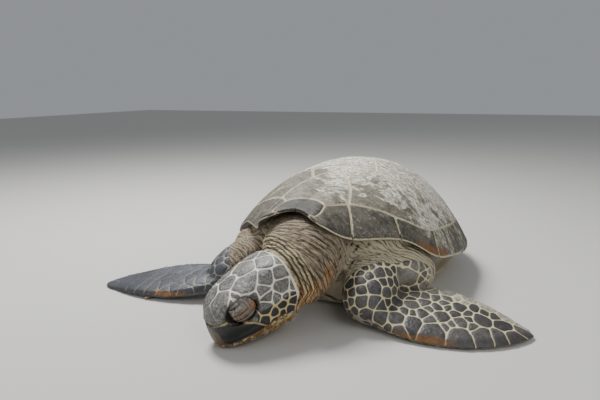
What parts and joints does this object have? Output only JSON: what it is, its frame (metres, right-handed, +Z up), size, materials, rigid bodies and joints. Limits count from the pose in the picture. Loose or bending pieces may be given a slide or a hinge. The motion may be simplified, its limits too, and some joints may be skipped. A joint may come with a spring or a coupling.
{
  "type": "sea turtle",
  "caption": "Life-size green sea turtle lying on its plastron, head lowered and turned aside, with a scuted shell, spread front flippers, small hind flippers and a short tail.",
  "frame": {"origin": "on the ground, under the middle of the whole body's box", "axes": "+Z up, -Y towards the head end of the shell, +X towards the turtle's left side"},
  "size_m": [1.0652, 1.0936, 0.3278],
  "materials": {
    "scute_horn": "dull horn of the shell with dried algae",
    "rim_horn": "smoother dark horn of the shell's rim",
    "plastron_horn": "pale yellow horn, worn matt",
    "beak_horn": "satin horn of the beak",
    "claw_horn": "satin horn of the claws",
    "eyelid": "wrinkled skin of the closed lid",
    "head_shields": "grey horny shields with pale seams",
    "flipper_scales": "slate scales with cream seams",
    "skin": "wrinkled dry skin"
  },
  "bodies": {
    "root": {"arm_left": "skin", "arm_right": "skin", "claw_left": "claw_horn", "claw_right": "claw_horn", "costal_left_1": "scute_horn", "costal_left_2": "scute_horn", "costal_left_3": "scute_horn", "costal_left_4": "scute_horn", "costal_right_1": "scute_horn", "costal_right_2": "scute_horn", "costal_right_3": "scute_horn", "costal_right_4": "scute_horn", "eye_left": "eyelid", "eye_right": "eyelid", "flipper_left": "flipper_scales", "flipper_right": "flipper_scales", "head": "head_shields", "hind_claw_left": "claw_horn", "hind_claw_right": "claw_horn", "hind_flipper_left": "flipper_scales", "hind_flipper_right": "flipper_scales", "lower_jaw": "beak_horn", "marginal_left_1": "rim_horn", "marginal_left_10": "rim_horn", "marginal_left_11": "rim_horn", "marginal_left_12": "rim_horn", "marginal_left_2": "rim_horn", "marginal_left_3": "rim_horn", "marginal_left_4": "rim_horn", "marginal_left_5": "rim_horn", "marginal_left_6": "rim_horn", "marginal_left_7": "rim_horn", "marginal_left_8": "rim_horn", "marginal_left_9": "rim_horn", "marginal_right_1": "rim_horn", "marginal_right_10": "rim_horn", "marginal_right_11": "rim_horn", "marginal_right_12": "rim_horn", "marginal_right_2": "rim_horn", "marginal_right_3": "rim_horn", "marginal_right_4": "rim_horn", "marginal_right_5": "rim_horn", "marginal_right_6": "rim_horn", "marginal_right_7": "rim_horn", "marginal_right_8": "rim_horn", "marginal_right_9": "rim_horn", "neck": "skin", "nuchal": "rim_horn", "plastron": "plastron_horn", "tail": "skin", "trunk": "skin", "upper_beak": "beak_horn", "vertebral_1": "scute_horn", "vertebral_2": "scute_horn", "vertebral_3": "scute_horn", "vertebral_4": "scute_horn", "vertebral_5": "scute_horn"}
  },
  "joints": []
}
